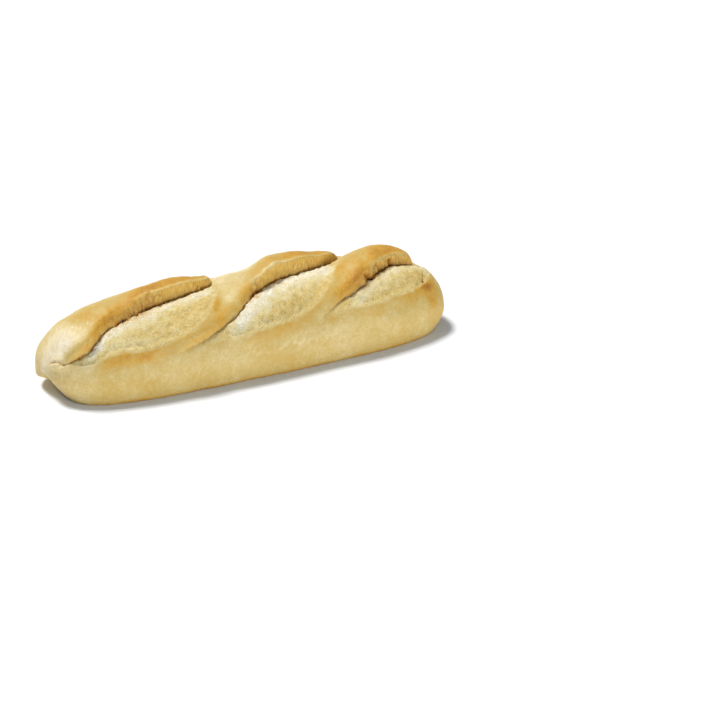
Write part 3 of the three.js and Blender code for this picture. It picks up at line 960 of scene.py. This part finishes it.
def crust_material():
    """Baked crust, with floury torn surfaces, fibrous walls, frayed openings, crevices in brown and
    painted shade, painted shade in pits, and painted highlights and shade among the browning.
    """
    graph = Graph("crust")
    torn = graph.mask("torn")
    floury = graph.mask("flour")
    wall = graph.mask("wall")
    crumbs = graph.mask("crumbs")
    crevice = graph.mask("crevice")
    grain = graph.noise(CRUST_GRAIN_WAVE, GRAIN_DETAIL)
    fibres = graph.noise(FIBRE_GRAIN_WAVE, GRAIN_DETAIL, FIBRE_STRETCH)
    frays = graph.noise(FRAY_WAVE, GRAIN_DETAIL, FRAY_STRETCH)
    # the toast mask holds browning and also painted highlights and painted shade
    toast = graph.shifted(graph.mask("toast"), grain, CRUST_GRAIN)
    toast = graph.shifted(toast, graph.noise(CRUST_CLOUD_WAVE), CRUST_CLOUDS)
    colour = graph.ramp(toast, CRUST_COLOURS)
    flour = graph.math("ADD", floury, TORN_BASE)
    flour = graph.shifted(flour, grain, graph.math("ADD", TORN_GRAIN, floury))
    flour = graph.shifted(flour, graph.noise(TORN_CLOUD_WAVE), TORN_CLOUDS)
    colour = graph.mix(torn, colour, graph.ramp(flour, TORN_COLOURS))
    colour = graph.mix(wall, colour, graph.ramp(fibres, WALL_COLOURS))
    colour = graph.mix(crumbs, colour, graph.ramp(frays, CRUMBLE_COLOURS))
    colour = graph.mix(graph.mask("pale"), colour, CREAM)
    # painted shade in pits and dimples
    colour = graph.mix(graph.math("MULTIPLY", graph.mask("pit"), PIT_SHADE), colour, PIT_SHADE_TAN)
    # Brown and painted shade of crevices, holes and cracks, streaked by the fibres
    crevice_brown_and_shade = graph.shifted(crevice, fibres, graph.math("MULTIPLY", crevice, CREVICE_STREAKS))
    colour = graph.mix(crevice_brown_and_shade, colour, graph.ramp(crevice_brown_and_shade, CREVICE_BROWN_AND_SHADE_COLOURS))
    graph.put(graph.shader.inputs["Base Color"], colour)
    rougher = graph.math("MULTIPLY", torn, TORN_ROUGHNESS - CRUST_ROUGHNESS)
    graph.put(graph.shader.inputs["Roughness"], graph.math("ADD", CRUST_ROUGHNESS, rougher))
    graph.shader.inputs["Specular IOR Level"].default_value = CRUST_SHEEN
    loose = graph.math("ADD", graph.math("ADD", CRUST_BUMP, torn), crumbs)
    loose_grain = graph.math("MULTIPLY", grain, loose)
    wall_grain = graph.math("MULTIPLY", fibres, graph.math("MULTIPLY", wall, WALL_BUMP))
    graph.bump(graph.math("ADD", loose_grain, wall_grain), BUMP_DEPTH)
    return graph.material


def crumb_material():
    """Soft crumb of the cut face, with painted shade inside its pores."""
    graph = Graph("crumb")
    grain = graph.noise(PORE_GRAIN_WAVE, GRAIN_DETAIL)
    pores = graph.shifted(graph.mask("pore"), grain, PORE_GRAIN)
    graph.put(graph.shader.inputs["Base Color"], graph.ramp(pores, CRUMB_AND_PORE_SHADE_COLOURS))
    graph.shader.inputs["Roughness"].default_value = CRUMB_ROUGHNESS
    graph.bump(graph.noise(CRUMB_GRAIN_WAVE, CRUMB_GRAIN_DETAIL), CRUMB_BUMP)
    return graph.material


def facing(way):
    """Turn that points a light or a camera along a way."""
    return Vector(way).to_track_quat("-Z", "Y").to_euler()


def studio():
    """Pale floor and dim blue light from all round."""
    scene = bpy.context.scene
    bpy.ops.mesh.primitive_plane_add(size=FLOOR_SIZE, location=(0, 0, -FLOOR_GAP * MM))
    floor = bpy.context.object
    floor.name = "floor"
    graph = Graph("floor")
    graph.shader.inputs["Base Color"].default_value = FLOOR_WHITE
    graph.shader.inputs["Roughness"].default_value = FLOOR_ROUGHNESS
    floor.data.materials.append(graph.material)
    world = bpy.data.worlds.new("studio")
    world.use_nodes = True
    background = world.node_tree.nodes["Background"]
    background.inputs["Color"].default_value = SKY_COLOUR
    background.inputs["Strength"].default_value = SKY_STRENGTH
    scene.world = world
    scene.view_settings.view_transform = "Standard"


def lights():
    """A soft key from above, a little behind and to the left, and a low fill from the front."""
    key = bpy.data.objects.new("key", bpy.data.lights.new("key", "SUN"))
    key.data.color = KEY_COLOUR
    key.data.energy = KEY_STRENGTH
    key.data.angle = math.radians(KEY_SPREAD)
    key.rotation_euler = facing(KEY_WAY)
    fill = bpy.data.objects.new("fill", bpy.data.lights.new("fill", "AREA"))
    fill.data.energy = FILL_POWER
    fill.data.size = FILL_SIZE
    fill.location = FILL_PLACE
    fill.rotation_euler = facing(-Vector(FILL_PLACE))
    for light in (key, fill):
        bpy.context.scene.collection.objects.link(light)


def camera():
    """View from the front, a little from the left and from above."""
    turn = math.radians(CAMERA_AZIMUTH)
    tilt = math.radians(CAMERA_ELEVATION)
    back = Vector((math.sin(turn) * math.cos(tilt), -math.cos(turn) * math.cos(tilt), math.sin(tilt)))
    piece = bpy.data.objects.new("camera", bpy.data.cameras.new("camera"))
    piece.data.lens = CAMERA_LENS
    piece.location = (Vector(CAMERA_TARGET) + back * CAMERA_DISTANCE) * MM
    piece.rotation_euler = facing(-back)
    bpy.context.scene.collection.objects.link(piece)
    bpy.context.scene.camera = piece


loaf_piece()
studio()
lights()
camera()
